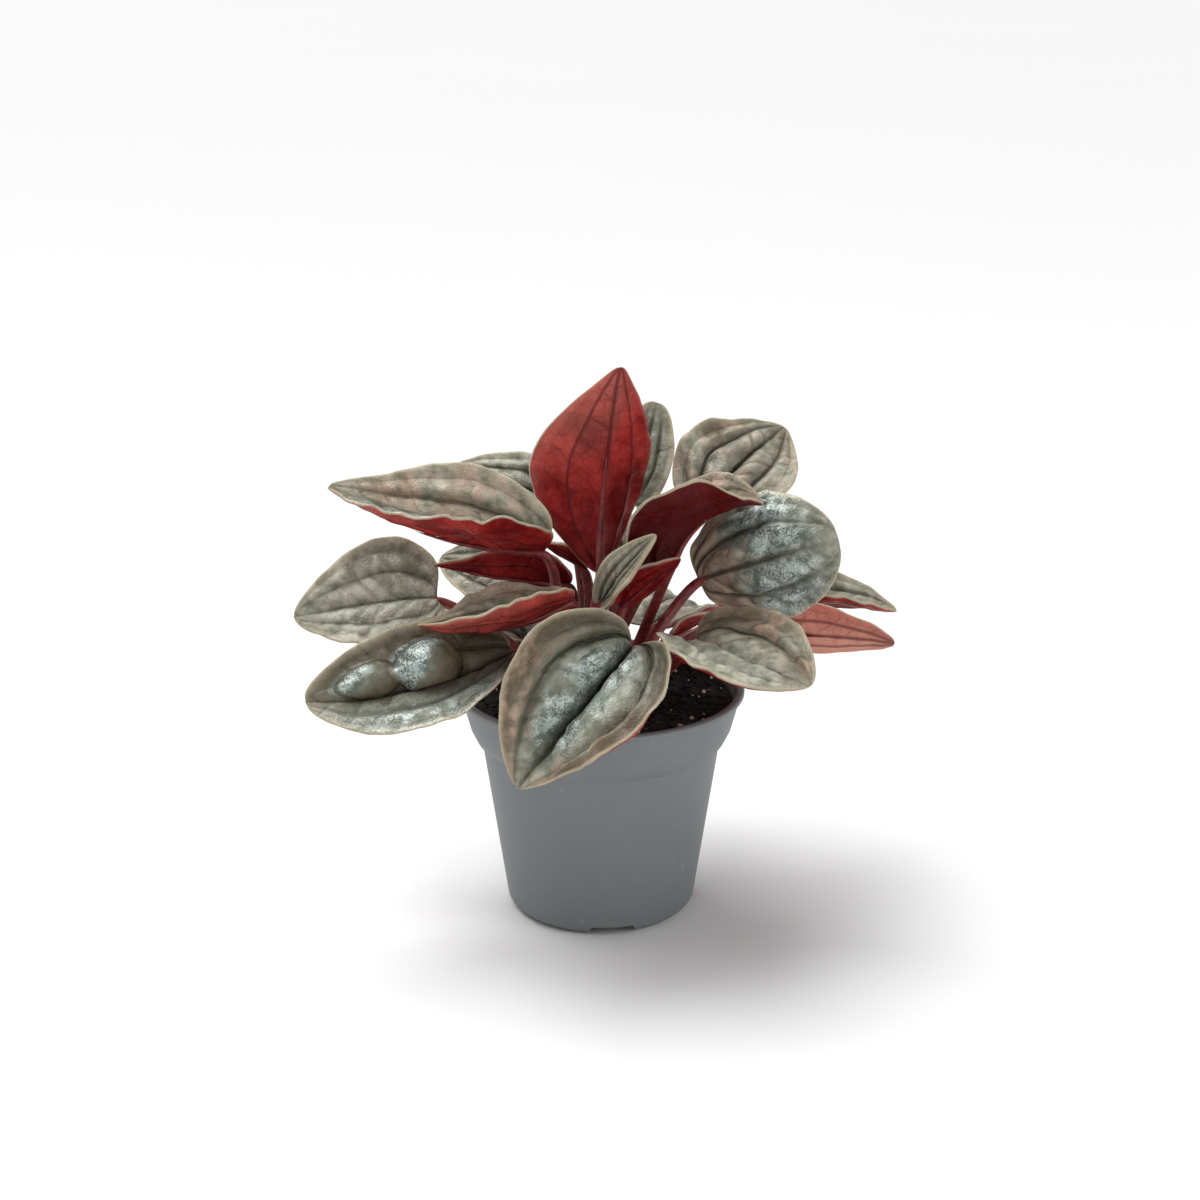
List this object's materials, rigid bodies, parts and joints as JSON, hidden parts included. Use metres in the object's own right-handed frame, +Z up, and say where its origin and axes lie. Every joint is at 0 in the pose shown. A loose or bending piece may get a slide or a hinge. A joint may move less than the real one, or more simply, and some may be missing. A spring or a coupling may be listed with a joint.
{
  "type": "potted cayenne ripple peperomia",
  "caption": "Small ripple-leaved peperomia with silvery crinkled leaves, red undersides and stalks, growing in a round plastic grower's pot of dark compost.",
  "frame": {"origin": "on the surface that the pot stands on, under the middle of the pot, which is also the middle of the plant's outline from above", "axes": "+Z up, the pictured front towards -Y, +X to the right as seen from the front"},
  "size_m": [0.1271, 0.093, 0.1155],
  "materials": {
    "pot_plastic": "fine matt, bluish grey",
    "compost": "rough, near black",
    "stalk_flesh": "satin, dusky red",
    "leaf_flesh": "pearly silver green above, satin crimson below"
  },
  "bodies": {
    "root": {"pot": "pot_plastic", "soil": "compost", "crown": "stalk_flesh", "leaf_front": "leaf_flesh", "leaf_front_left": "leaf_flesh", "leaf_front_folded": "leaf_flesh", "leaf_far_left": "leaf_flesh", "leaf_upper_left": "leaf_flesh", "leaf_left_dark": "leaf_flesh", "leaf_upright": "leaf_flesh", "leaf_back_tip": "leaf_flesh", "leaf_back_left": "leaf_flesh", "leaf_left_behind": "leaf_flesh", "leaf_young_olive": "leaf_flesh", "leaf_young_red": "leaf_flesh", "leaf_inner_right": "leaf_flesh", "leaf_right": "leaf_flesh", "leaf_upper_right": "leaf_flesh", "leaf_front_right": "leaf_flesh", "leaf_low_right": "leaf_flesh", "leaf_far_right": "leaf_flesh", "leaf_small_right": "leaf_flesh", "leaf_small_left": "leaf_flesh", "leaf_small_behind": "leaf_flesh", "leaf_back_right_low": "leaf_flesh", "leaf_back_low": "leaf_flesh", "leaf_back_left_low": "leaf_flesh"}
  },
  "joints": []
}
